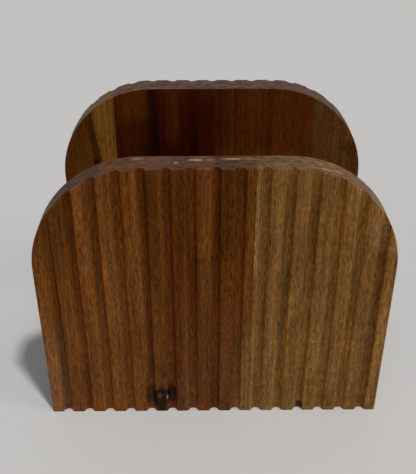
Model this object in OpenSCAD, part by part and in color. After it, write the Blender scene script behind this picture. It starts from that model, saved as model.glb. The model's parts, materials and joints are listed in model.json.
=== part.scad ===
// A free-standing napkin holder made of wood. Two upright panels with rounded top
// corners and fluted outer faces stand on the table, and a flat base board joins them.
// Napkins stand on the base, in the slot between the panels.
// X runs along the panels, the front panel is on the -Y side and Z points up.
// The origin is at the centre of the underside.

/* [Panels] */
// Width of each panel
panel_w = 153; // [110:1:220]
// Height of each panel
panel_h = 128; // [100:1:180]
// Thickness of each panel, from its smooth face to its flat lands
panel_t = 12.5; // [11:0.5:18]
// Radius of the two rounded top corners
corner_r = 47; // [15:1:48]
// Radius of the rounded edge round each smooth inner face
inner_edge_r = 0.5; // [0.3:0.1:2]
// Radius of the rounded edge round each fluted outer face
outer_edge_r = 0.5; // [0.3:0.1:2]

/* [Flutes] */
// Distance from one groove to the next
groove_pitch = 9.9; // [7:0.1:14]
// Depth of a groove below the lands
groove_depth = 2; // [1.5:0.1:4]
// Radius of the round bottom of a groove
groove_bottom_r = 2.3; // [1:0.05:2.5]
// Radius of the rounded shoulder on each side of a groove
shoulder_r = 0.6; // [0.4:0.05:1.5]
// Smallest flat land left outside the last groove on each side
end_land_w = 2.5; // [1:0.5:8]

/* [Slot and base] */
// Width of the napkin slot between the two panels
slot_w = 76; // [40:1:120]
// Thickness of the base board
base_t = 12.5; // [10:0.5:18]
// Distance that each end of the base board stays back from the panel's side
base_setback = 1.5; // [0.5:0.5:10]
// Radius of the rounded edges at the ends of the base board
base_edge_r = 0.8; // [0.3:0.1:2]

/* [Dowels] */
// Radius of a dowel
dowel_r = 3; // [2:0.25:4]
// Length of a dowel
dowel_l = 29; // [20:1:34]
// Depth of a dowel hole in the panel
panel_hole_depth = 7.5; // [5:0.5:8]
// Free space at each end of a dowel
dowel_end_gap = 0.5; // [0.2:0.1:1]
// Space left all round a dowel for glue
dowel_glue_gap = 0.05; // [0.03:0.01:0.1]
// Chamfer at each end of a dowel
dowel_chamfer = 0.6; // [0.3:0.1:1]
// Radius of the small grooves that let glue out along a dowel
glue_flute_r = 0.5; // [0.3:0.1:0.6]
// Depth of those small grooves
glue_flute_depth = 0.25; // [0.1:0.05:0.4]
// Number of those small grooves round a dowel
glue_flute_count = 12; // [6:1:16]
// Distance from the end of the base board to the nearest dowel
dowel_inset = 20; // [10:1:40]

/* [Hidden] */

$fn = 96;
// How far a cut runs past the face that it opens
overrun = 2;

// Places of the glue lines, as shares of the panel's width from its centre
front_seam_shares = [-0.116, 0.106];
rear_seam_shares = [-0.319, -0.196, 0.327];
// Places of the base board's glue lines, as shares of the slot's width from its centre
base_seam_shares = [-0.14, 0.17];

// Centre of a rounded top corner, from the panel's middle and from the table
corner_x = panel_w / 2 - corner_r;
corner_z = panel_h - corner_r;

// How wide a groove is, and the depth at which its shoulder turns into its round bottom
shoulder_drop = max(0, shoulder_r + groove_bottom_r - groove_depth);
groove_half_w = sqrt((groove_bottom_r + shoulder_r) ^ 2 - shoulder_drop ^ 2);
bottom_share = groove_bottom_r / (groove_bottom_r + shoulder_r);
wall_depth = groove_depth - groove_bottom_r + shoulder_drop * bottom_share;
grooves_each_side = floor((panel_w / 2 - end_land_w - groove_half_w) / groove_pitch);

// Overall depth, from the front lands to the rear lands
overall_d = slot_w + 2 * panel_t;
base_l = panel_w - 2 * base_setback;

dowel_hole_r = dowel_r + dowel_glue_gap;
dowel_hole_l = dowel_l + 2 * dowel_end_gap;
dowel_x = base_l / 2 - dowel_inset;
dowel_z = base_t / 2;
// Face of a panel's dowel holes' bottoms, from the middle of the slot
dowel_hole_y = slot_w / 2 + panel_hole_depth;

front_tints = ["#7d4c2b", "#74401f", "#95704a"];
rear_tints = ["#8a6034", "#6b3a1c", "#713f22", "#7d5331"];
base_tints = ["#7a4a2a", "#855a36", "#70411f"];
dowel_tint = "#d9b88a";

// Outline of a groove seen from above, opening towards -Y at the face of the lands
module groove_section() {
    translate([0, groove_depth - groove_bottom_r]) circle(r = groove_bottom_r);
    difference() {
        translate([-groove_half_w, -overrun]) square([2 * groove_half_w, overrun + wall_depth]);
        for (side = [-1, 1])
            translate([side * groove_half_w, shoulder_r]) {
                circle(r = shoulder_r);
                translate([-shoulder_r, 0]) square([2 * shoulder_r, wall_depth]);
            }
    }
}

// Panel seen from above, with its lands at Y = 0 and its smooth face at Y = panel_t
module plan_section() {
    difference() {
        translate([-panel_w / 2 - overrun, 0]) square([panel_w + 2 * overrun, panel_t]);
        for (i = [-grooves_each_side : grooves_each_side])
            translate([i * groove_pitch, 0]) groove_section();
    }
}

// Panel seen from the front, with its foot at zero
module face_outline() {
    translate([-panel_w / 2, 0]) square([panel_w, corner_z]);
    translate([-corner_x, 0]) square([2 * corner_x, panel_h]);
    for (side = [-1, 1]) translate([side * corner_x, corner_z]) circle(r = corner_r);
}

// The sliver between a square edge and its rounding, with the rounding's centre at zero
module edge_section(edge_r) {
    difference() {
        square([edge_r + overrun, edge_r + overrun]);
        circle(r = edge_r);
    }
}

// Straight cutter that rounds the upright edge between the faces X = edge_x and Y = 0
module straight_edge_cutter(edge_x, length, edge_r) {
    linear_extrude(height = length)
        translate([edge_x - edge_r, edge_r]) mirror([0, 1]) edge_section(edge_r);
}

// Cutter that rounds the edge of the face Y = 0 up both sides and over the top
module panel_edge_cutter(edge_r) {
    for (side = [0, 1]) mirror([side, 0, 0]) {
        translate([0, 0, -overrun]) straight_edge_cutter(panel_w / 2, corner_z + overrun, edge_r);
        rotate([0, -90, 0]) straight_edge_cutter(panel_h, corner_x, edge_r);
        translate([corner_x, 0, corner_z]) rotate([90, 0, 0])
            rotate_extrude(angle = 90) translate([corner_r - edge_r, -edge_r]) edge_section(edge_r);
    }
}

// Whole panel before it is split into staves, with its lands at Y = 0
module panel_blank() {
    difference() {
        intersection() {
            translate([0, 0, -overrun]) linear_extrude(height = panel_h + 2 * overrun) plan_section();
            translate([0, panel_t + overrun, 0]) rotate([90, 0, 0])
                linear_extrude(height = panel_t + 2 * overrun) face_outline();
        }
        panel_edge_cutter(outer_edge_r);
        translate([0, panel_t, 0]) mirror([0, 1, 0]) panel_edge_cutter(inner_edge_r);
    }
}

// Dowel holes on the -Y side, from the bottom of the panel's holes into the base board
module dowel_holes() {
    for (x = [-dowel_x, 0, dowel_x])
        translate([x, -dowel_hole_y, dowel_z]) rotate([-90, 0, 0])
            cylinder(r = dowel_hole_r, h = dowel_hole_l);
}

// Front panel in its place, one stave of it between two glue lines
module front_stave(index) {
    seams = [-panel_w / 2 - overrun, each front_seam_shares * panel_w, panel_w / 2 + overrun];
    color(front_tints[index]) difference() {
        intersection() {
            translate([0, -overall_d / 2, 0]) panel_blank();
            translate([seams[index], -overall_d / 2 - overrun, -overrun])
                cube([seams[index + 1] - seams[index], panel_t + 2 * overrun, panel_h + 2 * overrun]);
        }
        dowel_holes();
    }
}

// Rear panel in its place, one stave of it between two glue lines
module rear_stave(index) {
    seams = [-panel_w / 2 - overrun, each rear_seam_shares * panel_w, panel_w / 2 + overrun];
    color(rear_tints[index]) difference() {
        intersection() {
            translate([0, overall_d / 2, 0]) mirror([0, 1, 0]) panel_blank();
            translate([seams[index], slot_w / 2 - overrun, -overrun])
                cube([seams[index + 1] - seams[index], panel_t + 2 * overrun, panel_h + 2 * overrun]);
        }
        mirror([0, 1, 0]) dowel_holes();
    }
}

// Cutter that rounds the top and bottom edges at both ends of the base board
module base_end_cutter() {
    for (side = [0, 1], turn = [0, 1]) mirror([side, 0, 0])
        translate([0, -slot_w / 2 - overrun, turn * base_t]) mirror([0, 0, turn])
            rotate([-90, 0, 0]) mirror([0, 1, 0])
                straight_edge_cutter(base_l / 2, slot_w + 2 * overrun, base_edge_r);
}

// Base board between the panels, one stave of it between two glue lines
module base_stave(index) {
    seams = [-slot_w / 2, each base_seam_shares * slot_w, slot_w / 2];
    color(base_tints[index]) difference() {
        translate([-base_l / 2, seams[index], 0])
            cube([base_l, seams[index + 1] - seams[index], base_t]);
        base_end_cutter();
        for (side = [0, 1]) mirror([0, side, 0]) dowel_holes();
    }
}

// Dowel along +Y with its first end at zero
module dowel() {
    rotate([-90, 0, 0]) difference() {
        rotate_extrude()
            polygon([[0, 0], [dowel_r - dowel_chamfer, 0], [dowel_r, dowel_chamfer],
                     [dowel_r, dowel_l - dowel_chamfer], [dowel_r - dowel_chamfer, dowel_l],
                     [0, dowel_l]]);
        for (i = [0 : glue_flute_count - 1]) rotate([0, 0, i * 360 / glue_flute_count])
            translate([dowel_r + glue_flute_r - glue_flute_depth, 0, -overrun])
                cylinder(r = glue_flute_r, h = dowel_l + 2 * overrun);
    }
}

// Dowel between the front panel and the base board, at one of the three places along X
module front_dowel(place) {
    color(dowel_tint)
        translate([place * dowel_x, dowel_end_gap - dowel_hole_y, dowel_z]) dowel();
}

// Dowel between the rear panel and the base board, at one of the three places along X
module rear_dowel(place) {
    mirror([0, 1, 0]) front_dowel(place);
}

front_stave(0);  // front_stave_left
front_stave(1);  // front_stave_middle
front_stave(2);  // front_stave_right
rear_stave(0);  // rear_stave_left
rear_stave(1);  // rear_stave_left_inner
rear_stave(2);  // rear_stave_middle
rear_stave(3);  // rear_stave_right
base_stave(0);  // base_stave_front
base_stave(1);  // base_stave_middle
base_stave(2);  // base_stave_rear
front_dowel(-1);  // dowel_front_left
front_dowel(0);  // dowel_front_middle
front_dowel(1);  // dowel_front_right
rear_dowel(-1);  // dowel_rear_left
rear_dowel(0);  // dowel_rear_middle
rear_dowel(1);  // dowel_rear_right
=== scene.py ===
"""Dresses the wooden napkin holder: two fluted acacia panels and a base board, set on a pale floor."""
import json
import logging
import math
from collections.abc import Callable
from dataclasses import dataclass, field
from enum import Enum
from typing import Any

import bmesh
import bpy
from bpy.types import Material, Node, NodeSocket, NodeTree, Object
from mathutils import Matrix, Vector


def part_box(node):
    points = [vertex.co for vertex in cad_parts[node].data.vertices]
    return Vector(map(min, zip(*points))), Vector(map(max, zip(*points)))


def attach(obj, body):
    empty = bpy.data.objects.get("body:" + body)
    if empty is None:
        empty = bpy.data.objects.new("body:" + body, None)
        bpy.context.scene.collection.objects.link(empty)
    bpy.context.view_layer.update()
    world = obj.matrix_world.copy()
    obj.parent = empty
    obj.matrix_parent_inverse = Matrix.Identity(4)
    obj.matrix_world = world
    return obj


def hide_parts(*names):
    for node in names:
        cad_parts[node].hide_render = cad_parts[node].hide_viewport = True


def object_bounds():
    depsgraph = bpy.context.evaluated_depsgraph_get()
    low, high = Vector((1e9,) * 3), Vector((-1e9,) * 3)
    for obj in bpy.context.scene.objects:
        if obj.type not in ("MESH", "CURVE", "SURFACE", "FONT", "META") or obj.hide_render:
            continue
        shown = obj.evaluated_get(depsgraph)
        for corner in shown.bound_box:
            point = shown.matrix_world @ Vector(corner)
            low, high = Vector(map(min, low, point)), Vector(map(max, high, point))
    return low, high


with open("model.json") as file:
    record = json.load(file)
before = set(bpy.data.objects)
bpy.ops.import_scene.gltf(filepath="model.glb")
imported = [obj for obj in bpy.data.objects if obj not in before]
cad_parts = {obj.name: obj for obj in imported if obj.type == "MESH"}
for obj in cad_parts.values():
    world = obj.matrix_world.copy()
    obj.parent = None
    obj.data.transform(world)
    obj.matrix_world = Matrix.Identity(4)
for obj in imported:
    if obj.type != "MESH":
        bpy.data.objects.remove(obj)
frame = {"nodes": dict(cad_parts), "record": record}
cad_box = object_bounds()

log = logging.getLogger("napkin_holder")

MM = 0.001
X, Y, Z = range(3)
# How near two places must be for a cut to take them as one
HAIR = 0.001 * MM
# Faces that meet at less than this angle shade as one
SMOOTH_DEG = 35
# A value, an output socket or a whole node, as a node's input takes them
Source = float | NodeSocket | Node
# A Mix node's inputs for two colours: how much shows of the upper one, the lower one and the upper one
SHARE, BELOW, ABOVE = 0, 6, 7
# The setting by which a Map Range node eases in and out
EASED = {"interpolation_type": "SMOOTHSTEP"}
# The values between which nearly all of a noise lies
NOISE_SPAN = (0.3, 0.7)


class Side(Enum):
    """Which of the two panels is meant, with the sign of Y that its fluted face looks to."""

    FRONT = -1
    REAR = 1


class Grain(Enum):
    """Which way the wood fibres run, with the turn that brings them upright for the pattern."""

    UPRIGHT = (0.0, 0.0, 0.0)
    ALONG_X = (0.0, -math.pi / 2, 0.0)


def linear(hex_colour: str) -> tuple[float, float, float, float]:
    """Turns an sRGB hex colour into a linear one.

    Args:
        hex_colour: The colour, such as "#5f3c20".

    Returns:
        Linear red, green, blue and an alpha of one.
    """
    channels = []
    for start in (1, 3, 5):
        value = int(hex_colour[start:start + 2], 16) / 255
        channels.append(value / 12.92 if value <= 0.04045 else ((value + 0.055) / 1.055) ** 2.4)
    return (*channels, 1.0)


def connect(tree: NodeTree, node: Node, inputs: dict[str | int, Any]) -> None:
    """Sets or links some inputs of a node.

    Args:
        tree: The node tree.
        node: The node.
        inputs: Socket name or number to a value, to an output socket to link from, or to a node
            whose first output in use is linked.
    """
    for name, value in inputs.items():
        if isinstance(value, Node):
            value = next(socket for socket in value.outputs if socket.enabled)
        if isinstance(value, NodeSocket):
            tree.links.new(value, node.inputs[name])
        else:
            node.inputs[name].default_value = value


def add_node(tree: NodeTree, kind: str, inputs: dict[str | int, Any] | None = None,
             **settings: Any) -> Node:
    """Adds one node to a material.

    Args:
        tree: The node tree.
        kind: Blender's name of the node's type, without ShaderNode before it.
        inputs: What its inputs are set to or linked from, as connect takes them.
        **settings: The node's own settings.

    Returns:
        The new node.
    """
    node = tree.nodes.new("ShaderNode" + kind)
    for name, value in settings.items():
        setattr(node, name, value)
    connect(tree, node, inputs or {})
    return node


def reads(span: tuple[float, float]) -> dict[str, float]:
    """Gives a Map Range node's inputs for the span of values that it reads."""
    return {"From Min": span[0], "From Max": span[1]}


def swings(reach: float) -> dict[str, float]:
    """Gives a Map Range node's inputs that turn a noise into a factor of one, more or less a reach."""
    return {**reads(NOISE_SPAN), "To Min": 1 - reach, "To Max": 1 + reach}


def deselect_all() -> None:
    """Leaves no object selected."""
    bpy.ops.object.select_all(action="DESELECT")


def activate(piece: Object) -> None:
    """Makes one object the only one selected, and the active one.

    Args:
        piece: The object.
    """
    deselect_all()
    piece.select_set(True)
    bpy.context.view_layer.objects.active = piece


def add_box(name: str, low: Vector, high: Vector) -> Object:
    """Adds a box between two corners, with its place in its mesh.

    Args:
        name: The object's name.
        low: The lowest corner, in metres.
        high: The highest corner, in metres.

    Returns:
        The new object.
    """
    deselect_all()
    bpy.ops.mesh.primitive_cube_add(size=1, location=(low + high) / 2)
    piece = bpy.context.object
    piece.name = name
    piece.scale = high - low
    bpy.ops.object.transform_apply(location=True, rotation=True, scale=True)
    return piece


def pick(piece: Object, kind: str, wanted: Callable[[Any], bool]) -> None:
    """Selects the vertices or edges of the edited mesh that pass a test, and nothing else.

    Args:
        piece: The object in edit mode.
        kind: VERT or EDGE.
        wanted: Test that takes the element and says whether it is wanted.
    """
    bpy.ops.mesh.select_mode(type=kind)
    bpy.ops.mesh.select_all(action="DESELECT")
    mesh = bmesh.from_edit_mesh(piece.data)
    elements = mesh.verts if kind == "VERT" else mesh.edges
    for element in [element for element in elements if wanted(element)]:
        element.select_set(True)
    bmesh.update_edit_mesh(piece.data)


def apply_modifier(piece: Object, kind: str, **settings: Any) -> None:
    """Adds a modifier to an object, sets it and applies it.

    Args:
        piece: The object.
        kind: Blender's name of the modifier's type.
        **settings: The modifier's own settings.
    """
    activate(piece)
    modifier = piece.modifiers.new(kind.lower(), kind)
    for name, value in settings.items():
        setattr(modifier, name, value)
    bpy.ops.object.modifier_apply(modifier=modifier.name)


def settle_order(piece: Object) -> None:
    """Sorts the mesh's elements by place, as a boolean cut leaves them in another order each run.

    Args:
        piece: The object.
    """
    mesh = bmesh.new()
    mesh.from_mesh(piece.data)
    for elements, place in ((mesh.verts, lambda vert: tuple(vert.co)),
                            (mesh.edges, lambda edge: sorted(vert.index for vert in edge.verts)),
                            (mesh.faces, lambda face: sorted(vert.index for vert in face.verts))):
        rank = {element: number for number, element in enumerate(sorted(elements, key=place))}
        elements.sort(key=rank.get)
        elements.index_update()
    mesh.to_mesh(piece.data)
    mesh.free()


@dataclass
class Flutes:
    """The row of round-bottomed grooves cut down the outer face of a panel, in metres.

    The CAD nodes' boxes don't give these sizes or the panel's radii, so they are the part's own, repeated.
    """

    pitch: float = 9.9 * MM
    depth: float = 2.0 * MM
    bottom_r: float = 2.3 * MM
    shoulder_r: float = 0.6 * MM
    each_side: int = 7
    shoulder_steps: int = 6
    bottom_steps: int = 14

    @property
    def turn(self) -> float:
        """The angle that a shoulder turns through before the round bottom takes over."""
        radii = self.bottom_r + self.shoulder_r
        return math.acos((radii - self.depth) / radii)

    @property
    def half_width(self) -> float:
        """Half of the width of a groove at the face of the lands."""
        return (self.bottom_r + self.shoulder_r) * math.sin(self.turn)

    def centres(self) -> list[float]:
        """Gives the X of the middle of each groove, from left to right."""
        return [index * self.pitch for index in range(-self.each_side, self.each_side + 1)]


@dataclass
class FlutedPanel:
    """One upright panel: flutes outside, a smooth face inside and rounded top corners."""

    side: Side
    low: Vector
    high: Vector
    corner_r: float = 47 * MM
    rim_r: float = 0.5 * MM
    # How much the sanding takes off the sharp edges of the grooves, and the angle that counts as sharp
    soft_edge: float = 0.2 * MM
    sharp_deg: float = 40
    # How far the fluted block runs past the panel, and the outline's plate stands proud of it
    spare: float = 8 * MM
    proud: float = 0.01 * MM
    # Points nearer than these are one, in the drawn plan and in the cut panel
    plan_weld: float = 0.02 * MM
    cut_weld: float = 0.01 * MM
    # Faces that meet at less than this angle are one
    flat_deg: float = 0.2
    corner_steps: int = 44
    rim_steps: int = 5
    soft_steps: int = 2
    flutes: Flutes = field(default_factory=Flutes)

    @property
    def land_y(self) -> float:
        """Y of the flat lands between the grooves."""
        return self.low.y if self.side is Side.FRONT else self.high.y

    @property
    def smooth_y(self) -> float:
        """Y of the smooth inner face."""
        return self.high.y if self.side is Side.FRONT else self.low.y

    def fluted_block(self) -> Object:
        """Draws the plan of the panel with its grooves and extrudes it past the panel's height.

        Returns:
            A block with grooves, still square at the top.
        """
        deselect_all()
        left, right = self.low.x - self.spare, self.high.x + self.spare
        bpy.ops.mesh.primitive_plane_add(size=1)
        block = bpy.context.object
        bpy.ops.object.mode_set(mode="EDIT")
        pick(block, "VERT", lambda vert: vert.co.x > 0 or vert.co.y > 0)
        bpy.ops.mesh.delete(type="VERT")
        pick(block, "VERT", lambda vert: True)
        start = Vector((left, self.land_y, -self.spare))
        corner = Vector((-1, -1, 0)) / 2
        bpy.ops.transform.translate(value=start - corner)
        reached = left
        for centre in self.flutes.centres():
            self.extrude_by(centre - self.flutes.half_width - reached, 0)
            self.spin_groove(centre)
            reached = centre + self.flutes.half_width
        self.extrude_by(right - reached, 0)
        self.extrude_by(0, self.smooth_y - self.land_y)
        self.extrude_by(left - right, 0)
        bpy.ops.mesh.select_all(action="SELECT")
        bpy.ops.mesh.remove_doubles(threshold=self.plan_weld)
        bpy.ops.mesh.select_all(action="SELECT")
        bpy.ops.mesh.edge_face_add()
        bpy.ops.mesh.select_mode(type="FACE")
        bpy.ops.mesh.select_all(action="SELECT")
        bpy.ops.mesh.extrude_region_move(
            TRANSFORM_OT_translate={"value": (0, 0, self.high.z + 2 * self.spare)})
        bpy.ops.mesh.select_all(action="SELECT")
        bpy.ops.mesh.normals_make_consistent(inside=False)
        bpy.ops.object.mode_set(mode="OBJECT")
        return block

    @staticmethod
    def extrude_by(along: float, across: float) -> None:
        """Draws the plan's next straight line, from its selected end.

        Args:
            along: How far it goes along X.
            across: How far it goes along Y.
        """
        bpy.ops.mesh.extrude_region_move(TRANSFORM_OT_translate={"value": (along, across, 0)})

    def spin_groove(self, centre: float) -> None:
        """Draws one groove from left to right: a shoulder, the round bottom and the other shoulder.

        Args:
            centre: X of the middle of the groove.
        """
        flutes, inward = self.flutes, -self.side.value
        shoulder_y = self.land_y + inward * flutes.shoulder_r
        bottom_y = self.land_y + inward * (flutes.depth - flutes.bottom_r)
        for x, y, turn, steps in (
                (centre - flutes.half_width, shoulder_y, -flutes.turn, flutes.shoulder_steps),
                (centre, bottom_y, 2 * flutes.turn, flutes.bottom_steps),
                (centre + flutes.half_width, shoulder_y, -flutes.turn, flutes.shoulder_steps)):
            bpy.ops.mesh.spin(steps=steps, angle=inward * turn, center=(x, y, -self.spare), axis=(0, 0, 1))

    def outline_plate(self) -> Object:
        """Builds the plate whose outline and rounded rims the panel takes over.

        Returns:
            A plate with two rounded top corners and a foot below the table.
        """
        low = Vector((self.low.x, self.low.y - self.proud, -self.spare))
        high = Vector((self.high.x, self.high.y + self.proud, self.high.z))
        plate = add_box("outline_plate", low, high)
        bpy.ops.object.mode_set(mode="EDIT")
        half = (high - low) / 2
        pick(plate, "EDGE", lambda edge: all(
            abs(abs(vert.co.x) - half.x) < self.proud and vert.co.z > high.z - self.proud
            for vert in edge.verts) and abs(edge.verts[0].co.y - edge.verts[1].co.y) > half.y)
        bpy.ops.mesh.bevel(offset=self.corner_r, segments=self.corner_steps, affect="EDGES",
                           clamp_overlap=False)
        for rim_y in (self.land_y, self.smooth_y):
            pick(plate, "EDGE", lambda edge: all(
                abs(vert.co.y - rim_y) < 3 * self.proud for vert in edge.verts)
                and any(vert.co.z > 0 for vert in edge.verts))
            bpy.ops.mesh.bevel(offset=self.rim_r, segments=self.rim_steps, affect="EDGES",
                               clamp_overlap=False)
        bpy.ops.object.mode_set(mode="OBJECT")
        return plate

    def blank(self) -> Object:
        """Cuts the fluted block to the panel's outline and softens every sharp edge.

        Returns:
            The whole panel, before it is split into staves.
        """
        block = self.fluted_block()
        plate = self.outline_plate()
        apply_modifier(block, "BOOLEAN", operation="INTERSECT", solver="EXACT", object=plate)
        bpy.data.objects.remove(plate)
        settle_order(block)
        bpy.ops.object.mode_set(mode="EDIT")
        bpy.ops.mesh.select_all(action="SELECT")
        bpy.ops.mesh.remove_doubles(threshold=self.cut_weld)
        bpy.ops.mesh.select_all(action="SELECT")
        bpy.ops.mesh.dissolve_limited(angle_limit=math.radians(self.flat_deg))
        bpy.ops.object.mode_set(mode="OBJECT")
        apply_modifier(block, "BEVEL", width=self.soft_edge, segments=self.soft_steps, limit_method="ANGLE",
                       angle_limit=math.radians(self.sharp_deg), use_clamp_overlap=True)
        return block


def cut_stave(blank: Object, name: str,
              cuts: tuple[tuple[int, float, bool], ...]) -> Object:
    """Saws one stave out of a board.

    Args:
        blank: The whole board.
        name: Name of the new piece.
        cuts: The axis, the place and whether the far side goes, of each saw cut.

    Returns:
        The stave, closed at its glue faces.
    """
    piece = blank.copy()
    piece.data = blank.data.copy()
    piece.name = name
    bpy.context.collection.objects.link(piece)
    activate(piece)
    reach = [vert.co.copy() for vert in piece.data.vertices]
    bpy.ops.object.mode_set(mode="EDIT")
    for axis, place, drop_far in cuts:
        across = [point[axis] for point in reach]
        if min(across) + HAIR < place < max(across) - HAIR:
            at, normal = Vector(), Vector()
            at[axis], normal[axis] = place, 1
            bpy.ops.mesh.select_all(action="SELECT")
            bpy.ops.mesh.bisect(plane_co=at, plane_no=normal, use_fill=True, clear_inner=not drop_far,
                                clear_outer=drop_far, threshold=HAIR)
    bpy.ops.object.mode_set(mode="OBJECT")
    return piece


def finish_surface(piece: Object) -> None:
    """Smooths the shading of a piece, with its flat faces kept flat.

    Args:
        piece: The object.
    """
    activate(piece)
    bpy.ops.object.shade_smooth_by_angle(angle=math.radians(SMOOTH_DEG))
    apply_modifier(piece, "WEIGHTED_NORMAL", keep_sharp=True)


@dataclass(frozen=True)
class Streak:
    """A stripe of another tone that runs with the grain, in millimetres."""

    # Its place from left to right at the foot, its colour and how strongly it shows
    across: float
    tone: str
    strength: float
    # Half the width that shows in full, and how far the edge on each side fades out
    half_width: float
    soft: float = 1.5
    # How far it leans to the right for each millimetre up
    lean: float = 0.0
    # The heights between which it shows in full, and how far it fades beyond them
    low: float = -40.0
    high: float = 200.0
    fade: float = 12.0

    def paint(self, tree: NodeTree, colour: Source, place: Source) -> Node:
        """Lays the stripe over a colour.

        Args:
            tree: The material's node tree.
            colour: The colour so far.
            place: The point in millimetres.

        Returns:
            The node that holds the colour with the stripe.
        """
        parts = add_node(tree, "SeparateXYZ", {0: place})
        drift = add_node(tree, "Math", {0: parts.outputs["Z"], 1: -self.lean, 2: -self.across},
                         operation="MULTIPLY_ADD")
        offset = add_node(tree, "Math", {0: parts.outputs["X"], 1: drift}, operation="ADD")
        far = add_node(tree, "Math", {0: offset}, operation="ABSOLUTE")
        share = add_node(tree, "MapRange", {
            "Value": far, **reads((self.half_width + self.soft, self.half_width)),
            "To Max": self.strength}, **EASED)
        for edge, sign in ((self.low, 1), (self.high, -1)):
            inside = add_node(tree, "MapRange", {
                "Value": parts.outputs["Z"], **reads((edge - sign * self.fade, edge))}, **EASED)
            share = add_node(tree, "Math", {0: share, 1: inside}, operation="MULTIPLY")
        return add_node(tree, "Mix", {SHARE: share, BELOW: colour, ABOVE: linear(self.tone)},
                        data_type="RGBA")


@dataclass(frozen=True)
class Mark:
    """A round or long mark, such as a knot, by its middle and its half sizes in millimetres."""

    at: tuple[float, float, float]
    size: tuple[float, float, float]
    tone: str
    strength: float = 1.0
    # How much of the half size the edge fades over, inwards and outwards
    soft: float = 0.35

    def nearness(self, tree: NodeTree, place: Source, reach: float) -> Node:
        """Gives a value that is one in the mark and falls to zero outside it.

        Args:
            tree: The material's node tree.
            place: The point in millimetres.
            reach: How many half sizes out the value reaches zero.

        Returns:
            The node that holds the value.
        """
        offset = add_node(tree, "VectorMath", {0: place, 1: self.at}, operation="SUBTRACT")
        scaled = add_node(tree, "VectorMath", {0: offset, 1: self.size}, operation="DIVIDE")
        far = add_node(tree, "VectorMath", {0: scaled}, operation="LENGTH")
        return add_node(tree, "MapRange", {
            "Value": far, **reads((reach, 1 - self.soft)), "To Max": self.strength}, **EASED)

    def paint(self, tree: NodeTree, colour: Source, place: Source) -> Node:
        """Lays the mark over a colour.

        Args:
            tree: The material's node tree.
            colour: The colour so far.
            place: The point in millimetres, with its ragged edge.

        Returns:
            The node that holds the colour with the mark.
        """
        share = self.nearness(tree, place, 1 + self.soft)
        return add_node(tree, "Mix", {SHARE: share, BELOW: colour, ABOVE: linear(self.tone)},
                        data_type="RGBA")


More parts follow.
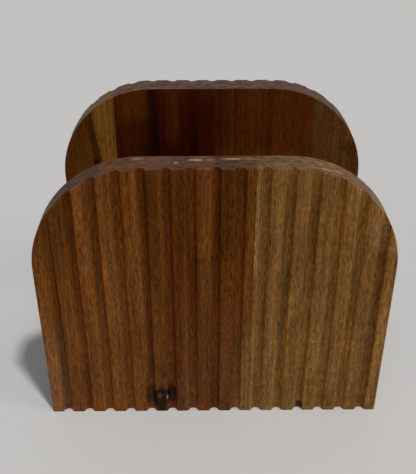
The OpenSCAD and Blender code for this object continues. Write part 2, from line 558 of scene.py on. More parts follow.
@dataclass(frozen=True)
class AcaciaFinish:
    """Oiled acacia: bands of growth, dark pores that run with the grain and a satin sanded face.

    The pores of acacia are 0.2 mm wide and 1 to 4 mm long, and its fibres a tenth as wide. The
    photograph's view gives two pixels to the millimetre, so the pores are drawn half as wide again
    as they are, and the fibres in bundles of a quarter of a millimetre.
    """

    # The pale wood, the dark wood and the reddish clouds
    tone: str
    dark: str
    red: str
    # How far the pattern is moved along the grain, so that no two staves look alike
    seed: float
    grain: Grain = Grain.UPRIGHT
    # Where the heart of the log lies across the grain, in millimetres
    pith: tuple[float, float] = (12.0, 70.0)
    band_mm: float = 6.0
    wander_mm: float = 3.0
    # How strongly each part of the pattern shows
    curl: float = 0.07
    cloud: float = 0.3
    fibres: float = 0.72
    stripes: float = 0.5
    pores: float = 0.28
    # The end grain's tone and its share: partly the end grain's own duller tone, partly a painted sheen
    end_tone: str = "#2c2622"
    end_share: float = 0.6
    shine: float = 0.07
    knot: Mark | None = None
    streaks: tuple[Streak, ...] = ()
    marks: tuple[Mark, ...] = ()

    # How large each part of the pattern is, across and along the grain
    FIBRE_MM = (0.26, 0.26, 3.6)
    STRIPE_MM = (3.6, 3.6, 110.0)
    PORE_MM = (0.3, 0.3, 2.6)
    SPECKLE_MM = (3.6, 1.8, 3.6)
    CURL_MM = (3.2, 3.2, 5.0)
    CLOUD_MM = (26.0, 26.0, 60.0)
    BAND_LONG_MM = 320.0
    RAGGED_MM = 1.1
    RAGGED_REACH = 1.2
    # How far out a knot turns the fibres, in its own half sizes, and how hard
    KNOT_REACH = 2.6
    KNOT_PULL = -0.75
    # The part of a noise that makes bands, clouds and pores
    BAND_SPAN = (0.32, 0.62)
    CLOUD_SPAN = (0.42, 0.66)
    PORE_SPAN = (0.5, 0.7)
    # How far a face looks left, out of the panel or up, where a change begins and where it is whole
    WALL_SPAN = (-0.15, -0.6)
    OUTER_SPAN = (0.1, 0.3)
    END_SPAN = (0.15, 0.7)
    # How deep in a flute the painted shade begins, and is whole
    PAINTED_SHADE_SPAN_MM = (0.8, 1.3)
    # How much the painted shade darkens a flute's bottom, and the gamma and the factor of the painted
    # bounce light that warms its shaded wall
    FLUTE_PAINTED_SHADE = 0.09
    PAINTED_BOUNCE_GAMMA = 1.2
    PAINTED_BOUNCE_LIFT = 2.05
    # How far the end grain's mottle swings
    MOTTLE = 0.55
    # From the smoothest to the dullest fibre, so that the satin face breaks up what it mirrors
    ROUGHNESS = (0.37, 0.57)
    # How deep a pore lies for each unit of a fibre's height
    PORE_DEPTH = -1.5
    BUMP_STRENGTH = 0.5
    BUMP_MM = 0.05

    def noise(self, tree: NodeTree, place: Source, size: tuple[float, float, float],
              **inputs: float) -> Node:
        """Adds a noise whose cells have a real size.

        Args:
            tree: The material's node tree.
            place: The point in millimetres.
            size: The size of its cells each way, in millimetres.
            **inputs: Detail, Roughness and Distortion of the noise.

        Returns:
            The noise node.
        """
        scaled = add_node(tree, "VectorMath", {0: place, 1: size}, operation="DIVIDE")
        return add_node(tree, "TexNoise", {"Vector": scaled, "Scale": 1, **inputs})

    def along_grain(self, tree: NodeTree, place: Source) -> Node:
        """Turns a place into grain coordinates: the heart of the log at the origin, the fibres along Z.

        Args:
            tree: The material's node tree.
            place: The point in millimetres.

        Returns:
            The node that holds the point, with the slow wander of the fibres and their way round a knot.
        """
        if self.knot:
            away = add_node(tree, "VectorMath", {0: place, 1: self.knot.at}, operation="SUBTRACT")
            near = self.knot.nearness(tree, place, self.KNOT_REACH)
            pull = add_node(tree, "Math", {0: near, 1: self.KNOT_PULL}, operation="MULTIPLY")
            pushed = add_node(tree, "VectorMath", {0: away, "Scale": pull}, operation="SCALE")
            place = add_node(tree, "VectorMath", {0: pushed, 1: (1, 0, 0), 2: place},
                             operation="MULTIPLY_ADD")
        turned = add_node(tree, "Mapping", {
            "Vector": place, "Rotation": self.grain.value,
            "Location": (-self.pith[0], -self.pith[1], self.seed)})
        slow = self.noise(tree, turned, self.CLOUD_MM, Detail=2)
        return add_node(tree, "VectorMath", {
            0: slow.outputs["Color"], 1: (self.wander_mm, self.wander_mm, 0), 2: turned},
            operation="MULTIPLY_ADD")

    def fray(self, tree: NodeTree, place: Source) -> Node:
        """Shifts a place by a small noise, so that stripes and marks get ragged edges.

        Args:
            tree: The material's node tree.
            place: The point in millimetres.

        Returns:
            The node that holds the shifted point.
        """
        ragged = self.noise(tree, place, (self.RAGGED_MM,) * 3, Detail=2)
        shifted = add_node(tree, "VectorMath", {
            0: ragged.outputs["Color"], 1: (self.RAGGED_REACH,) * 3, 2: place}, operation="MULTIPLY_ADD")
        return add_node(tree, "VectorMath", {0: shifted, 1: (self.RAGGED_REACH / 2,) * 3},
                        operation="SUBTRACT")

    def heartwood(self, tree: NodeTree, grain: Node) -> Node:
        """Colours the wood by the bands of growth round the heart of the log and by slow reddish clouds.

        Args:
            tree: The material's node tree.
            grain: The point in grain coordinates.

        Returns:
            The node that holds the colour.
        """
        flat = add_node(tree, "VectorMath", {0: grain, 1: (1, 1, 0)}, operation="MULTIPLY")
        from_heart = add_node(tree, "VectorMath", {0: flat}, operation="LENGTH")
        parts = add_node(tree, "SeparateXYZ", {0: grain})
        unrolled = add_node(tree, "CombineXYZ", {"X": from_heart, "Z": parts.outputs["Z"]})
        bands = self.noise(tree, unrolled, (self.band_mm, 1, self.BAND_LONG_MM), Detail=6, Roughness=0.62)
        pale = add_node(tree, "MapRange", {"Value": bands, **reads(self.BAND_SPAN)})
        colour = add_node(tree, "Mix", {
            SHARE: pale, BELOW: linear(self.dark), ABOVE: linear(self.tone)}, data_type="RGBA")
        cloud = self.noise(tree, grain, self.CLOUD_MM, Detail=3)
        reddish = add_node(tree, "MapRange", {
            "Value": cloud, **reads(self.CLOUD_SPAN), "To Max": self.cloud})
        return add_node(tree, "Mix", {SHARE: reddish, BELOW: colour, ABOVE: linear(self.red)},
                        data_type="RGBA")

    def shade(self, tree: NodeTree, grain: Node, fibre: Node, pore: Node) -> Node:
        """Gives the factor by which the fine pattern lightens or darkens the wood.

        Args:
            tree: The material's node tree.
            grain: The point in grain coordinates.
            fibre: The noise of the fibres.
            pore: How open a pore is.

        Returns:
            The node that holds the factor.
        """
        stripe = self.noise(tree, grain, self.STRIPE_MM, Detail=5, Roughness=0.8)
        curl = self.noise(tree, grain, self.CURL_MM, Detail=3, Distortion=1.2)
        factor = add_node(tree, "Math", {0: 1, 1: pore}, operation="SUBTRACT")
        for noise, reach in ((fibre, self.fibres), (stripe, self.stripes), (curl, self.curl)):
            swing = add_node(tree, "MapRange", {"Value": noise, **swings(reach)})
            factor = add_node(tree, "Math", {0: factor, 1: swing}, operation="MULTIPLY")
        return factor

    def paint_flute_shade_and_bounce(self, tree: NodeTree, colour: Source, normal: Node, place: Source) -> Node:
        """Paints shade into a flute's bottom, and paints onto its shaded wall the warm light that the other
        wall throws back.

        Args:
            tree: The material's node tree.
            colour: The colour so far.
            normal: The node that holds the parts of the surface's direction.
            place: The point in millimetres.

        Returns:
            The node that holds the colour with its painted shade and bounce light.
        """
        land = cad_box[1][Y] / MM
        parts = add_node(tree, "SeparateXYZ", {0: place})
        outward = add_node(tree, "Math", {0: normal.outputs["Y"], 1: parts.outputs["Y"]},
                           operation="MULTIPLY")
        begins, whole = self.OUTER_SPAN
        outer = add_node(tree, "MapRange", {"Value": outward, **reads((begins * land, whole * land))})
        far = add_node(tree, "Math", {0: parts.outputs["Y"]}, operation="ABSOLUTE")
        begins, whole = self.PAINTED_SHADE_SPAN_MM
        # Painted shade: the bottom of each flute on the outer face is darkened
        oiled = add_node(tree, "MapRange", {
            "Value": far, **reads((land - begins, land - whole)), "To Max": self.FLUTE_PAINTED_SHADE})
        oiled = add_node(tree, "Math", {0: oiled, 1: outer}, operation="MULTIPLY")
        kept = add_node(tree, "Math", {0: 1, 1: oiled}, operation="SUBTRACT")
        colour = add_node(tree, "Mix", {SHARE: 1, BELOW: colour, ABOVE: kept}, data_type="RGBA",
                          blend_type="MULTIPLY")
        # Painted bounce light: the wall that faces left, away from the lamps, is warmed and lifted
        turned = add_node(tree, "MapRange", {
            "Value": normal.outputs["X"], **reads(self.WALL_SPAN)}, **EASED)
        painted_bounce_share = add_node(tree, "Math", {0: turned, 1: outer}, operation="MULTIPLY")
        deep = add_node(tree, "Gamma", {0: colour, 1: self.PAINTED_BOUNCE_GAMMA})
        painted_bounce = add_node(tree, "VectorMath", {0: deep, "Scale": self.PAINTED_BOUNCE_LIFT}, operation="SCALE")
        return add_node(tree, "Mix", {SHARE: painted_bounce_share, BELOW: colour, ABOVE: painted_bounce}, data_type="RGBA")

    def grey_ends_with_painted_sheen(self, tree: NodeTree, colour: Source, normal: Node, place: Source) -> Node:
        """Greys and darkens the end grain, partly for its own duller tone and partly as a painted sheen,
        and mottles it, as it drinks the oil unevenly.

        Args:
            tree: The material's node tree.
            colour: The colour so far.
            normal: The node that holds the parts of the surface's direction.
            place: The point in millimetres.

        Returns:
            The node that holds the colour with its greyed ends, partly painted sheen.
        """
        level = add_node(tree, "Math", {0: normal.outputs["Z"]}, operation="ABSOLUTE")
        share = add_node(tree, "MapRange", {"Value": level, **reads(self.END_SPAN)}, **EASED)
        speckle = self.noise(tree, place, self.SPECKLE_MM, Detail=4, Roughness=0.6)
        mottle = add_node(tree, "MapRange", {"Value": speckle, **swings(self.MOTTLE)})
        # The end tone is partly the end grain's own and partly a painted sheen
        ends = add_node(tree, "Mix", {
            SHARE: self.end_share, BELOW: colour, ABOVE: linear(self.end_tone)}, data_type="RGBA")
        ends = add_node(tree, "Mix", {SHARE: 1, BELOW: ends, ABOVE: mottle}, data_type="RGBA",
                        blend_type="MULTIPLY")
        return add_node(tree, "Mix", {SHARE: share, BELOW: colour, ABOVE: ends}, data_type="RGBA")

    def material(self, node: str) -> Material:
        """Builds the material.

        Args:
            node: The CAD node of the stave, which the material is named after.

        Returns:
            The new material.
        """
        board, _, place = node.replace("left_inner", "left inner").split("_")
        material = bpy.data.materials.new(f"oiled acacia, {board} {place} stave")
        material.use_nodes = True
        tree = material.node_tree
        coords = add_node(tree, "TexCoord")
        normal = add_node(tree, "SeparateXYZ", {0: coords.outputs["Normal"]})
        place = add_node(tree, "VectorMath", {0: coords.outputs["Object"], "Scale": 1 / MM},
                         operation="SCALE")
        frayed = self.fray(tree, place)
        grain = self.along_grain(tree, place)
        fibre = self.noise(tree, grain, self.FIBRE_MM, Detail=3, Roughness=0.6)
        pore = add_node(tree, "MapRange", {
            "Value": self.noise(tree, grain, self.PORE_MM, Detail=1), **reads(self.PORE_SPAN),
            "To Max": self.pores})
        colour = self.heartwood(tree, grain)
        for streak in self.streaks:
            colour = streak.paint(tree, colour, frayed)
        colour = add_node(tree, "Mix", {
            SHARE: 1, BELOW: colour, ABOVE: self.shade(tree, grain, fibre, pore)}, data_type="RGBA",
            blend_type="MULTIPLY")
        if self.grain is Grain.UPRIGHT:
            # Painted shade in the flutes' bottoms and painted bounce light on their shaded walls
            colour = self.paint_flute_shade_and_bounce(tree, colour, normal, place)
            # Greys the end grain, partly with a painted sheen
            colour = self.grey_ends_with_painted_sheen(tree, colour, normal, place)
        for mark in self.marks:
            colour = mark.paint(tree, colour, frayed)
        rough = add_node(tree, "MapRange", {
            "Value": fibre, "To Min": self.ROUGHNESS[0], "To Max": self.ROUGHNESS[1]})
        height = add_node(tree, "Math", {0: pore, 1: self.PORE_DEPTH, 2: fibre},
                          operation="MULTIPLY_ADD")
        bump = add_node(tree, "Bump", {
            "Height": height, "Strength": self.BUMP_STRENGTH, "Distance": self.BUMP_MM * MM})
        connect(tree, tree.nodes["Principled BSDF"], {
            "Base Color": colour, "Roughness": rough, "Normal": bump, "Specular IOR Level": self.shine})
        return material


@dataclass(frozen=True)
class BeechFinish:
    """Bare turned beech: a pale pink-tan with short darker ray flecks, matt as it was never oiled."""

    tone: str = "#d8b78c"
    fleck: str = "#a9805a"
    roughness: float = 0.7
    FLECK_MM = (0.3, 1.6, 0.3)
    FLECK_SPAN = (0.55, 0.7)
    BUMP_STRENGTH = 0.3
    BUMP_MM = 0.05

    def material(self) -> Material:
        """Builds the material, with the grain along Y.

        Returns:
            The new material.
        """
        material = bpy.data.materials.new("bare turned beech")
        material.use_nodes = True
        tree = material.node_tree
        coords = add_node(tree, "TexCoord")
        cell = tuple(size * MM for size in self.FLECK_MM)
        scaled = add_node(tree, "VectorMath", {0: coords.outputs["Object"], 1: cell},
                          operation="DIVIDE")
        flecks = add_node(tree, "TexNoise", {"Vector": scaled, "Scale": 1, "Detail": 2.0})
        share = add_node(tree, "MapRange", {"Value": flecks, **reads(self.FLECK_SPAN)})
        colour = add_node(tree, "Mix", {
            SHARE: share, BELOW: linear(self.tone), ABOVE: linear(self.fleck)}, data_type="RGBA")
        bump = add_node(tree, "Bump", {
            "Height": flecks, "Strength": self.BUMP_STRENGTH, "Distance": self.BUMP_MM * MM})
        connect(tree, tree.nodes["Principled BSDF"], {
            "Base Color": colour, "Roughness": self.roughness, "Normal": bump})
        return material


@dataclass
class BaseBoard:
    """The board between the panels that the napkins stand on, with softened open ends."""

    low: Vector
    high: Vector
    end_edge_r: float = 0.8 * MM
    edge_steps: int = 5

    def blank(self) -> Object:
        """Builds the whole board.

        Returns:
            The board, before it is split into staves.
        """
        board = add_box("base_blank", self.low, self.high)
        bpy.ops.object.mode_set(mode="EDIT")
        pick(board, "EDGE", lambda edge: abs(edge.verts[0].co.y - edge.verts[1].co.y) > HAIR)
        bpy.ops.mesh.bevel(offset=self.end_edge_r, segments=self.edge_steps, affect="EDGES")
        bpy.ops.object.mode_set(mode="OBJECT")
        return board


@dataclass(frozen=True)
class Sun:
    """A far lamp, with the direction from the holder to it and how wide it looks from there."""

    name: str
    towards: tuple[float, float, float]
    strength: float
    angle_deg: float = 24

    def add(self) -> None:
        """Adds the lamp."""
        data = bpy.data.lights.new(self.name, "SUN")
        data.energy = self.strength
        data.angle = math.radians(self.angle_deg)
        lamp = bpy.data.objects.new(self.name, data)
        bpy.context.scene.collection.objects.link(lamp)
        lamp.rotation_euler = Vector(self.towards).to_track_quat("Z", "Y").to_euler()


@dataclass
class Studio:
    """The camera at the photograph's viewing angle, the pale floor and the soft lamps."""

    camera_at: Vector = field(default_factory=lambda: Vector((-5.4, -302.8, 253.7)) * MM)
    pitch_deg: float = 31.766
    yaw_deg: float = 0.557
    focal_px: float = 728.7
    # The frame is taller than it is wide, so the sensor's width lies along its height
    frame_h_px: float = 474
    sensor_mm: float = 36
    clip_start: float = 10 * MM
    floor_side: float = 6
    floor_roughness: float = 0.6
    floor_tone: str = "#bdbbb8"
    floor_far_tone: str = "#3a3836"
    floor_fades_y: float = -80 * MM
    floor_ends_y: float = -190 * MM
    sky_tone: str = "#f1f4f7"
    sky_strength: float = 0.37
    suns: tuple[Sun, ...] = (
        Sun("window light", (0.29, -0.405, 1), 2.3, angle_deg=5),
        Sun("left fill", (-0.5, -1, 0.4), 0.2),
        Sun("right fill", (1, -0.3, 0.32), 1.0),
    )

    def build(self) -> None:
        """Adds the camera, the floor, the sun and the sky."""
        self.add_camera()
        self.add_floor()
        self.add_lights()
        bpy.context.scene.view_settings.view_transform = "Standard"

    def add_camera(self) -> None:
        """Adds the camera."""
        data = bpy.data.cameras.new("camera")
        data.sensor_width = self.sensor_mm
        data.lens = self.focal_px / self.frame_h_px * self.sensor_mm
        data.clip_start = self.clip_start
        camera = bpy.data.objects.new("camera", data)
        bpy.context.scene.collection.objects.link(camera)
        camera.location = self.camera_at
        camera.rotation_euler = (math.radians(90 - self.pitch_deg), 0, -math.radians(self.yaw_deg))
        bpy.context.scene.camera = camera

    def add_floor(self) -> None:
        """Adds the pale floor that the holder stands on.

        It is honed stone, plain and matt, so that the eye finds only the holder's shadow on it. The
        camera sees all of it pale, but in the light that it throws back it turns dark in front.
        """
        deselect_all()
        bpy.ops.mesh.primitive_plane_add(size=self.floor_side)
        floor = bpy.context.object
        floor.name = "floor"
        material = bpy.data.materials.new("pale stone floor")
        material.use_nodes = True
        tree = material.node_tree
        coords = add_node(tree, "TexCoord")
        parts = add_node(tree, "SeparateXYZ", {0: coords.outputs["Object"]})
        near = add_node(tree, "MapRange", {
            "Value": parts.outputs["Y"], **reads((self.floor_ends_y, self.floor_fades_y))}, **EASED)
        rays = add_node(tree, "LightPath")
        pale = add_node(tree, "Math", {0: near, 1: rays.outputs["Is Camera Ray"]},
                        operation="MAXIMUM")
        tone = add_node(tree, "Mix", {
            SHARE: pale, BELOW: linear(self.floor_far_tone), ABOVE: linear(self.floor_tone)},
            data_type="RGBA")
        connect(tree, tree.nodes["Principled BSDF"], {
            "Base Color": tone, "Roughness": self.floor_roughness})
        floor.data.materials.append(material)

    def add_lights(self) -> None:
        """Adds the window light, a soft fill from each side and the sky."""
        for sun in self.suns:
            sun.add()
        world = bpy.data.worlds.new("room")
        bpy.context.scene.world = world
        world.use_nodes = True
        connect(world.node_tree, world.node_tree.nodes["Background"], {
            "Color": linear(self.sky_tone), "Strength": self.sky_strength})


# The height of the top edge, in millimetres
TOP_MM = 128.0
# A dab of filler's half length for each millimetre of the length given, and its half width and depth
DAB = (1.2, 0.7, 1.2)


def filler(*places: tuple[float, float, float, float]) -> tuple[Mark, ...]:
    """Gives dabs of pale wood filler along the top edge.

    Args:
        *places: X, Y and half length of each dab in millimetres, and how strong it shows.

    Returns:
        One mark for each dab.
    """
    return tuple(Mark((x, y, TOP_MM), (DAB[0] * half, *DAB[1:]), "#a2845f", strength, soft=0.5)
                 for x, y, half, strength in places)


# The top edge is a little paler round this place
PALE_PATCH = Mark((-20, -43.5, TOP_MM), (10, 8, 3), "#6a4c3c", 0.2, soft=0.7)
# The dark knot near the foot, which the fibres flow round
KNOT = Mark((-24.6, 0, 10), (5.6, 60, 7.4), "#23140b")
# Painted shade: the upper half of the front panel is darker than its foot
PAINTED_SHADE_TOP = Streak(0, "#3c2004", 0.31, 100, low=120, fade=62)
# The glue line between the inner and the middle stave of the rear panel is darkest here
DARK_SEAM = Streak(-30, "#0c0200", 0.4, 2.4, 4, low=80, high=104)
# The rear panel's ends are duller than the front's, and its faces are calmer and shine less
REAR_LOOK = {"end_share": 0.85, "shine": 0.04, "fibres": 0.5, "stripes": 0.45}
FINISHES = {
    "front_stave_left": AcaciaFinish(
        "#714110", "#5e330a", "#6d340a", seed=310, pith=(-30, 90),
        band_mm=9, end_tone="#4a3529", knot=KNOT,
        streaks=(
            PAINTED_SHADE_TOP,
            # The pale greyish streaks at the foot, at X -74, -54 and -49, are partly the wood's own tone
            # and partly a painted reflection of the pale floor, which greys the lower face
            Streak(-74, "#7a5a3e", 0.3, 4, 6, low=-20, high=30, fade=36),
            Streak(-54, "#84604a", 0.045, 22, 6, low=-20, high=70, fade=50),
            Streak(-66, "#4a260c", 0.12, 7, 6),
            Streak(-49, "#715e2c", 0.04, 8, 6, high=40, fade=30),
            Streak(-59, "#3e1e0a", 0.25, 4, 4, high=20, fade=14),
            Streak(-46, "#9a602f", 0.1, 8, 6, low=66, fade=30),
            Streak(-25, "#4c2a0c", 0.1, 7, 6, low=48, fade=12),
            Streak(-43.5, "#8c5426", 0.25, 1.8, 3.4, low=70, high=120, fade=36),
            Streak(-54.5, "#96592a", 0.4, 1, 2, low=84, high=140, fade=20),
            Streak(-22, "#4c260b", 0.26, 5, 6),
            Streak(-32.2, "#8e5628", 0.35, 0.8, 1.2, low=64, fade=20),
            Streak(-24.6, "#4a2c14", 0.4, 2, 4.5, low=4, high=26, fade=14),
        ),
        marks=(
            # Painted shade on the top of the left rounded corner, which faces away from the lamps
            Mark((-56, -42, 117), (16, 7, 14), "#2a1c14", 0.4, soft=0.4),
            PALE_PATCH,
            Mark((-29.7, -50, 9.6), (2.4, 8, 5.9), "#241208", 0.75),
            Mark((-25.1, -50, 7), (3.2, 8, 7.8), "#160a04", 0.9),
            Mark((-19.8, -50, 9.8), (2.6, 8, 5.9), "#170b05", 0.88),
            Mark((-27.9, -50, 8.3), (0.5, 8, 6), "#080301", 0.85),
            Mark((-24.6, -50, 12.6), (3.1, 8, 1.2), "#0e0603", 0.8),
            Mark((-21, -50, 9.9), (0.8, 8, 2.4), "#080301", 0.85),
            Mark((-25.6, -50.6, 9.7), (0.9, 3, 1.8), "#5a3c26", 0.65, soft=0.6),
            Mark((-22.1, -50, 8.7), (0.35, 6, 1.4), "#8e7556", 0.75, soft=0.4),
            Mark((-25.2, -50.6, 73.2), (0.55, 3, 0.6), "#1d1209", 0.9),
            Mark((-40, -50, 8), (0.9, 6, 0.55), "#2c190b", 0.8),
            *filler((-30.5, -40.7, 1.8, 0.4)),
        )),
    "front_stave_middle": AcaciaFinish(
        "#603304", "#512803", "#592804", seed=1270, pith=(10, 60),
        band_mm=5, end_tone="#3c2f2c", cloud=0.4,
        streaks=(
            PAINTED_SHADE_TOP,
            Streak(0, "#804d26", 0.11, 12, 5, low=24, high=76, fade=16),
            Streak(12.8, "#84501c", 0.3, 2.4, 2.2, low=62, fade=20),
            # The greyish streaks at the foot, at X 7, 0 and -14, are partly the wood's own tone and partly
            # a painted reflection of the pale floor
            Streak(7, "#604a16", 0.05, 5, 5, low=14, high=66, fade=20),
            Streak(0, "#7a5040", 0.05, 13, 5, low=-20, high=48, fade=24),
            Streak(-14, "#4a2002", 0.22, 3.2, 2, low=74, fade=12),
            Streak(-5, "#8a4c1c", 0.3, 4, 3, low=94, fade=10),
            Streak(-14, "#8a6448", 0.1, 4, 4, low=-20, high=18, fade=8),
            Streak(-3.8, "#845026", 0.25, 1.6, 1.6, low=66, fade=20),
            Streak(2, "#43200a", 0.18, 4, 5),
            Streak(19.6, "#7a572c", 0.68, 5, 10, lean=0.06, low=-20, high=34, fade=34),
        ),
        marks=(
            PALE_PATCH,
            *filler((-15.4, -44.4, 0.9, 0.5), (-8.2, -41.9, 1.9, 0.8), (-6.4, -42, 1.1, 0.8),
                    (-2, -41.9, 1.2, 0.35), (6.7, -41.1, 3.2, 0.7), (14.2, -41.2, 2.4, 0.35)),
        )),
    "front_stave_right": AcaciaFinish(
        "#886030", "#734e25", "#734823", seed=2230, pith=(30, 100),
        band_mm=5, end_tone="#4c3a31", curl=0.18, cloud=0.25, wander_mm=7, fibres=0.62, pores=0.22,
        streaks=(
            Streak(19.6, "#5c3c18", 0.3, 3.4, 4, low=52, fade=20),
            Streak(46, "#5e4220", 0.3, 60, low=-60, high=8, fade=40),
            Streak(27, "#50371b", 0.45, 1.4, 2.6, lean=0.03, low=58, high=112, fade=24),
            Streak(38.5, "#50371b", 0.4, 0.8, 2, low=60, high=104, fade=20),
            Streak(68.5, "#6a3d1c", 0.22, 1.4, 2.4, lean=0.02),
            Streak(72, "#a8865c", 0.14, 6, 4, low=92, fade=8),
            Streak(30, "#5c4a22", 0.25, 4, 3, high=16, fade=8),
            Streak(30, "#5c4018", 0.2, 4, 3, low=76, high=96, fade=8),
            Streak(16.8, "#a88450", 0.4, 0.4, 0.7, low=84, high=118, fade=9),
        ),
        marks=(
            Mark((40.6, -49, 2.6), (1.7, 6, 2), "#1f130a", 0.9),
            Mark((44, -50.6, 42), (0.45, 3, 0.35), "#b8a68c", 0.9),
            Mark((44, -46.6, 125.8), (3, 0.7, 1.2), "#b08a62", 0.5, soft=0.6),
            Mark((49, -45, 123.8), (2.6, 0.6, 1.6), "#b08a62", 0.4, soft=0.6),
        )),
    "rear_stave_left": AcaciaFinish(
        "#583109", "#492605", "#4a2205", seed=3190, end_tone="#6a5038", pith=(-40, 60), **REAR_LOOK,
        streaks=(
            Streak(-31.4, "#6c471a", 0.9, 12, 0.8, lean=-0.143),
            Streak(-45.6, "#201005", 0.5, 0.8, 1.8, lean=-0.143, high=108, fade=10),
        ),
        marks=(
            Mark((-59.6, 38, 88.4), (1.3, 6, 2.6), "#180d05", 0.85, soft=0.5),
        )),
    "rear_stave_left_inner": AcaciaFinish(
        "#451b01", "#371300", "#3f1300", seed=4150, end_tone="#5c4539", pith=(-35, 90), **REAR_LOOK,
        streaks=(
            # Painted shadow in the slot, low on the face that shows above the front panel
            Streak(-41, "#220d02", 0.28, 8, 6, high=108, fade=8),
            Streak(-37.4, "#221003", 0.4, 0.4, 1.2, lean=0.02),
            Streak(-39, "#5e3408", 0.3, 5, 5, low=116, fade=8),
            Streak(-29.8, "#0e0401", 0.7, 0.6, 4.6),
            DARK_SEAM,
            # Painted shadow in the slot, just above the front panel's rim
            Streak(-40, "#1c0a02", 0.25, 9, 6, high=90, fade=9),
        )),
    "rear_stave_middle": AcaciaFinish(
        "#562906", "#451f02", "#4f1d02", seed=5110, end_tone="#54423a", pith=(0, 60), **REAR_LOOK,
        streaks=(
            Streak(-12.5, "#2f0800", 0.92, 11, 9, low=76, high=112, fade=44),
            # Painted shadow in the slot, low on the face that shows above the front panel
            Streak(-19, "#180300", 0.3, 9, 6, low=80, high=98, fade=14),
            Streak(-29.6, "#140300", 0.8, 1.4, 4.8),
            DARK_SEAM,
            Streak(-20, "#4e2408", 0.4, 1.6, 3, low=108, fade=16),
            Streak(-8.4, "#160200", 0.42, 0.8, 4),
            Streak(24, "#3c1803", 0.5, 1, 2.4),
            Streak(31, "#70380c", 0.25, 9, 8, high=90, fade=12),
            Streak(9, "#2a0e02", 0.12, 5, 6, low=106, fade=8),
            Streak(5.6, "#1c0802", 0.42, 1.6, 3.6, low=98, fade=8),
        )),
    "rear_stave_right": AcaciaFinish(
        "#5b3817", "#4c2c11", "#4e290e", seed=6070, end_tone="#4c3c34", pith=(50, 60), **REAR_LOOK,
        marks=(
            Mark((70, 38, 96), (3, 6, 3.4), "#1a0f08", 0.45, soft=0.8),
        )),
    "base_stave_front": AcaciaFinish(
        "#5e3c1d", "#452911", "#562f14", seed=7030, grain=Grain.ALONG_X, pith=(40, -30)),
    "base_stave_middle": AcaciaFinish(
        "#74522a", "#5a3c1c", "#684220", seed=8990, grain=Grain.ALONG_X, pith=(60, 5)),
    "base_stave_rear": AcaciaFinish(
        "#523016", "#3b200d", "#4c2610", seed=9950, grain=Grain.ALONG_X, pith=(50, 30)),
}


@dataclass(frozen=True)
class DowelHole:
    """The blind hole round one dowel, half in a panel and half in the base board."""

    dowel: str
    glue_gap: float = 0.05 * MM
    end_gap: float = 0.5 * MM
    sides: int = 32

    def cut(self, piece: Object) -> None:
        """Cuts the hole out of a piece, where the piece has a part of it.

        Args:
            piece: A stave of a panel or of the base board.
        """
        low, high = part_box(self.dowel)
        xs = [vert.co.x for vert in piece.data.vertices]
        ys = [vert.co.y for vert in piece.data.vertices]
        if not (min(xs) < high.x and max(xs) > low.x and min(ys) < high.y and max(ys) > low.y):
            return
        deselect_all()
        bpy.ops.mesh.primitive_cylinder_add(
            vertices=self.sides, radius=(high.x - low.x) / 2 + self.glue_gap,
            depth=high.y - low.y + 2 * self.end_gap, location=(low + high) / 2,
            rotation=(math.pi / 2, 0, 0))
        cutter = bpy.context.object
        bpy.ops.object.transform_apply(location=True, rotation=True, scale=True)
        apply_modifier(piece, "BOOLEAN", operation="DIFFERENCE", solver="EXACT", object=cutter)
        bpy.data.objects.remove(cutter)
        settle_order(piece)


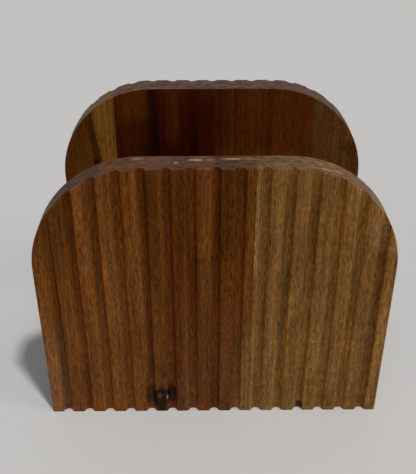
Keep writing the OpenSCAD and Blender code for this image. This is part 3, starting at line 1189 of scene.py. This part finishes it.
@dataclass
class Holder:
    """The whole napkin holder: two panels of upright staves, a base board of long ones and six dowels."""

    front: tuple[str, ...] = ("front_stave_left", "front_stave_middle", "front_stave_right")
    rear: tuple[str, ...] = ("rear_stave_left", "rear_stave_left_inner", "rear_stave_middle",
                             "rear_stave_right")
    base: tuple[str, ...] = ("base_stave_front", "base_stave_middle", "base_stave_rear")
    dowels: tuple[str, ...] = ("dowel_front_left", "dowel_front_middle", "dowel_front_right",
                               "dowel_rear_left", "dowel_rear_middle", "dowel_rear_right")

    def build(self) -> None:
        """Builds and dresses every piece."""
        self.build_panel(Side.FRONT, self.front)
        self.build_panel(Side.REAR, self.rear)
        self.build_base()
        self.dress_dowels()

    @staticmethod
    def span(nodes: tuple[str, ...]) -> tuple[Vector, Vector]:
        """Gives the lowest and highest corner of some CAD nodes together."""
        boxes = [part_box(node) for node in nodes]
        return (Vector(min(box[0][axis] for box in boxes) for axis in (X, Y, Z)),
                Vector(max(box[1][axis] for box in boxes) for axis in (X, Y, Z)))

    def build_panel(self, side: Side, nodes: tuple[str, ...]) -> None:
        """Builds one panel and splits it into its staves.

        Args:
            side: Which panel.
            nodes: The CAD nodes of its staves, from left to right.
        """
        blank = FlutedPanel(side, *self.span(nodes)).blank()
        for node in nodes:
            low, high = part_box(node)
            cuts = ((X, low.x, False), (X, high.x, True), (Z, low.z, False))
            self.finish_stave(blank, node, cuts)
        bpy.data.objects.remove(blank)

    def build_base(self) -> None:
        """Builds the base board and splits it into its staves."""
        blank = BaseBoard(*self.span(self.base)).blank()
        for node in self.base:
            low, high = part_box(node)
            cuts = ((Y, low.y, False), (Y, high.y, True))
            self.finish_stave(blank, node, cuts)
        bpy.data.objects.remove(blank)

    def finish_stave(self, blank: Object, node: str,
                     cuts: tuple[tuple[int, float, bool], ...]) -> None:
        """Takes one stave out of its board, bores it and dresses it in the place of its CAD node.

        Args:
            blank: The whole board.
            node: The CAD node of the stave.
            cuts: The axis, the place and whether the far side goes, of each saw cut.
        """
        piece = cut_stave(blank, node.replace("stave", "board"), cuts)
        for dowel in self.dowels:
            DowelHole(dowel).cut(piece)
        finish_surface(piece)
        piece.data.materials.clear()
        piece.data.materials.append(FINISHES[node].material(node))
        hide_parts(node)
        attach(piece, "root")
        log.info("%s: %d faces", piece.name, len(piece.data.polygons))

    @property
    def slots(self) -> dict[str, str]:
        """The record's material slot of each CAD node."""
        return {part["node"]: part["material_slot"] for part in frame["record"]["subparts"]}

    def dress_dowels(self) -> None:
        """Gives the dowels, whose CAD shape is right, their beech."""
        beech = BeechFinish().material()
        for dowel in self.dowels:
            solid = frame["nodes"][dowel]
            solid.data.materials.clear()
            solid.data.materials.append(beech)
            log.info("%s: CAD shape kept", dowel)


def main() -> None:
    """Builds the studio and the holder."""
    logging.basicConfig(level=logging.INFO, format="%(name)s: %(message)s")
    Studio().build()
    Holder().build()


if __name__ == "__main__":
    main()
